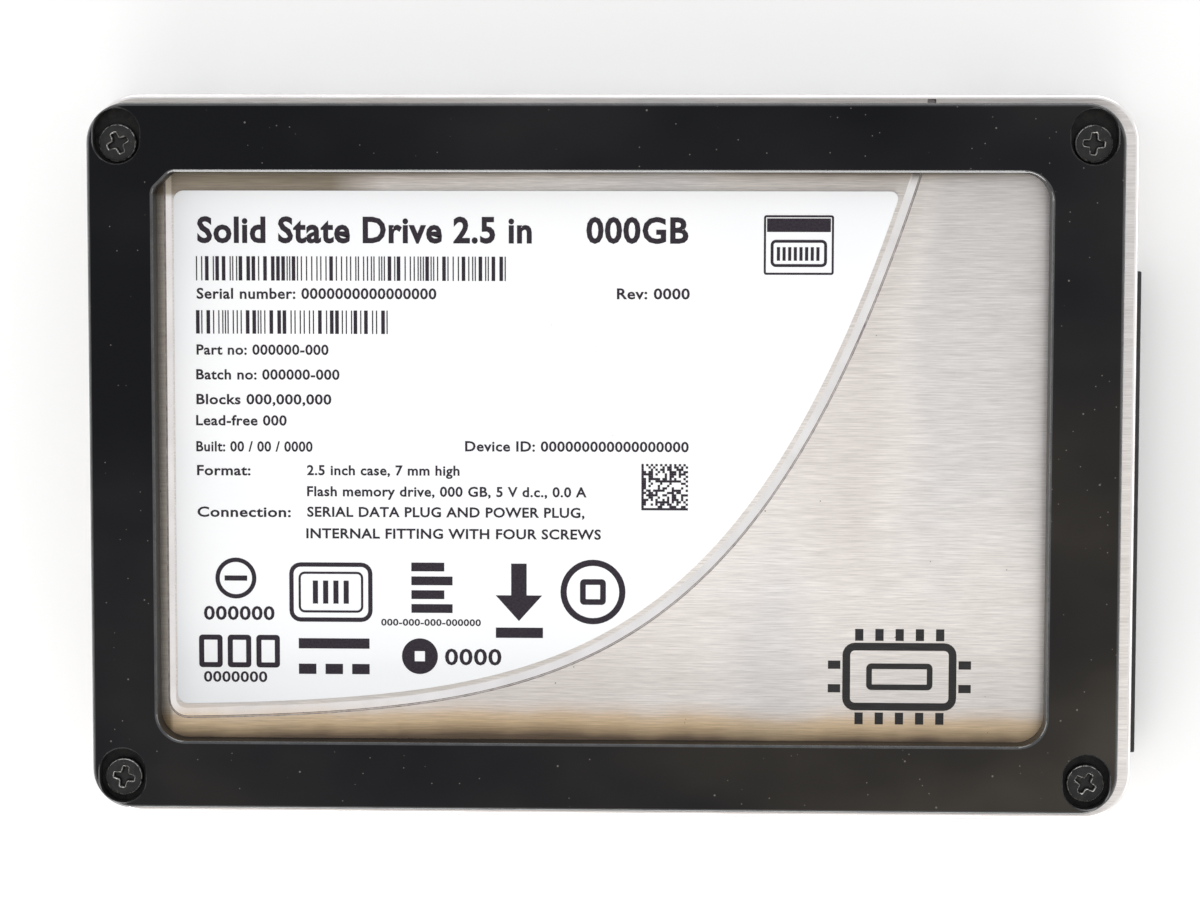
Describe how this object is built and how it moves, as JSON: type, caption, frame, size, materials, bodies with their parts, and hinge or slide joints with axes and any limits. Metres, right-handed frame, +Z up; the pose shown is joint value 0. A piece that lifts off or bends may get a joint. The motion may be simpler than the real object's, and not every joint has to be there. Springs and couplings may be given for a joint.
{
  "type": "solid state drive",
  "caption": "2.5-inch solid state drive: flat metal case, black spacer frame on the label side, recessed serial plug at one end, threaded holes in sides and base.",
  "frame": {"origin": "centre of the four bottom screw holes, on the case's bottom face", "axes": "+X to the connector end, +Y to the plug's signal side, +Z up through the label side"},
  "size_m": [0.1009, 0.0698, 0.0095],
  "materials": {
    "case_aluminium": "fine matt, lightly grained",
    "cover_aluminium": "brushed along the length, smooth rounded edge",
    "spacer_plastic": "satin, fine moulded texture",
    "black_screw": "black coating, worn at the recess",
    "label_paper": "smooth coated paper, printed",
    "board_laminate": "solder mask over woven laminate",
    "bright_screw": "nickel plated",
    "plug_plastic": "glass-filled, slightly rough",
    "contact_gold": "gold plated",
    "tinned_metal": "tin plated",
    "chip_mould": "fine matt moulding compound",
    "thermal_pad": "soft matt silicone",
    "capacitor_case": "moulded, matt",
    "capacitor_ceramic": "fired ceramic, tinned ends",
    "resistor_body": "glazed film, tinned ends",
    "ferrite": "sintered, matt",
    "fuse_body": "matt ceramic"
  },
  "bodies": {
    "root": {"base_tray": "case_aluminium", "top_cover": "cover_aluminium", "spacer_frame": "spacer_plastic", "corner_screws": "black_screw", "product_label": "label_paper", "circuit_board": "board_laminate", "board_screws": "bright_screw", "sata_housing": "plug_plastic", "sata_signal_contacts": "contact_gold", "sata_power_contacts": "contact_gold", "connector_hold_downs": "tinned_metal", "controller_chip": "chip_mould", "cache_memory_chip": "chip_mould", "flash_chips_upper": "chip_mould", "flash_chips_lower": "chip_mould", "controller_thermal_pad": "thermal_pad", "flash_pads_upper": "thermal_pad", "flash_pads_lower": "thermal_pad", "bulk_capacitors": "capacitor_case", "ceramic_capacitors": "capacitor_ceramic", "resistors": "resistor_body", "power_inductors": "ferrite", "voltage_regulators": "chip_mould", "crystal_oscillator": "tinned_metal", "input_fuse": "fuse_body", "surge_diode": "chip_mould"}
  },
  "joints": []
}
